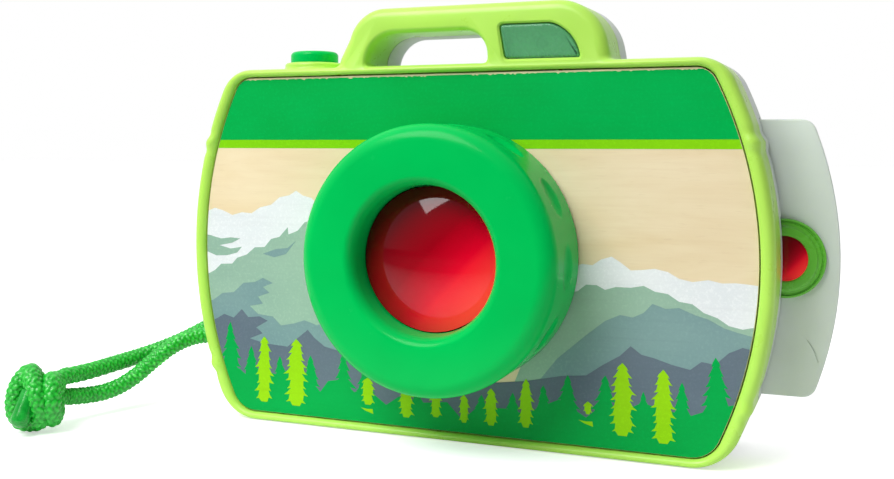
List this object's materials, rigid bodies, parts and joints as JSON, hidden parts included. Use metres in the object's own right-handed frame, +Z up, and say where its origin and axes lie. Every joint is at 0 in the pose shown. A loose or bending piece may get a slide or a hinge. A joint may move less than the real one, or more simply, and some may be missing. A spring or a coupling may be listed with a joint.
{
  "type": "toy camera",
  "caption": "Child's pretend camera with a printed wooden front, a turning lens ring, a pull-out colour filter, a shutter button, a flash and a wrist cord.",
  "frame": {"origin": "on the flat base, under the lens axis and midway through the depth of the body", "axes": "+X across the camera, to the right as its front is seen; +Y from front to back; +Z up"},
  "size_m": [0.1986, 0.0682, 0.1072],
  "materials": {
    "lime_plastic": "satin moulded lime plastic",
    "white_plastic": "satin moulded white plastic",
    "printed_plywood": "birch plywood with a printed landscape",
    "green_plastic": "glossy moulded green plastic",
    "dark_plastic": "matt black plastic",
    "red_lens": "clear red plastic",
    "green_lens": "clear green plastic",
    "clear_lens": "clear plastic",
    "silvered_plastic": "vacuum-silvered plastic",
    "zinc_steel": "zinc-plated steel",
    "battery_jacket": "plain printed jacket with no mark",
    "circuit_board": "green solder mask",
    "wire_jacket": "red wire jacket",
    "braided_cord": "braided polyester cord"
  },
  "bodies": {
    "camera_body": {"barrel_screw_left": "zinc_steel", "barrel_screw_right": "zinc_steel", "battery_1": "battery_jacket", "battery_2": "battery_jacket", "battery_contact_1": "zinc_steel", "battery_contact_2": "zinc_steel", "battery_lead": "wire_jacket", "battery_spring_1": "zinc_steel", "battery_spring_2": "zinc_steel", "battery_tray": "white_plastic", "board_screw_1": "zinc_steel", "board_screw_2": "zinc_steel", "circuit_board": "circuit_board", "cord_back": "braided_cord", "cord_front": "braided_cord", "cord_knot": "braided_cord", "cord_turn": "braided_cord", "eyepiece_lens": "clear_lens", "eyepiece_ring": "green_plastic", "flash_lead": "wire_jacket", "flash_led": "clear_lens", "flash_reflector": "silvered_plastic", "flash_window": "green_lens", "front_panel": "printed_plywood", "front_shell": "lime_plastic", "lens_barrel": "dark_plastic", "lens_dome": "red_lens", "rear_shell": "white_plastic", "shell_screw_1": "zinc_steel", "shell_screw_2": "zinc_steel", "shell_screw_3": "zinc_steel", "shell_screw_4": "zinc_steel", "shell_screw_5": "zinc_steel", "shell_screw_6": "zinc_steel", "shutter_spring": "zinc_steel", "slide_guide_lower": "white_plastic", "slide_guide_upper": "white_plastic", "sound_chip": "dark_plastic", "speaker": "zinc_steel", "speaker_lead": "wire_jacket", "strap_pin": "zinc_steel", "switch_board": "circuit_board", "switch_lead": "wire_jacket", "tact_switch": "dark_plastic", "viewing_tube": "dark_plastic"},
    "lens_dial": {"lens_ring": "green_plastic", "click_wheel": "dark_plastic"},
    "shutter": {"shutter_button": "green_plastic", "button_clip": "zinc_steel"},
    "filter": {"filter_slide": "white_plastic", "slide_bezel": "green_plastic", "slide_window": "red_lens"},
    "door": {"battery_door": "white_plastic", "door_screw": "zinc_steel"}
  },
  "joints": [
    {"name": "lens_turn", "type": "hinge", "parent": "camera_body", "child": "lens_dial", "pos_m": [0, 0, 0.0462], "axis": [0, -1, 0], "continuous": true},
    {"name": "shutter_press", "type": "slide", "parent": "camera_body", "child": "shutter", "axis": [0, 0, -1], "range_m": [0, 0.0018], "stiffness_N_per_m": 400, "springref_m": -0.001, "deforming": ["shutter_spring"]},
    {"name": "filter_slide_out", "type": "slide", "parent": "camera_body", "child": "filter", "axis": [1, 0, 0], "range_m": [-0.0124, 0.01]},
    {"name": "door_swing", "type": "hinge", "parent": "camera_body", "child": "door", "pos_m": [-0.0482, 0.0144, 0.0159], "axis": [-1, 0, 0], "range_deg": [0, 85]}
  ]
}
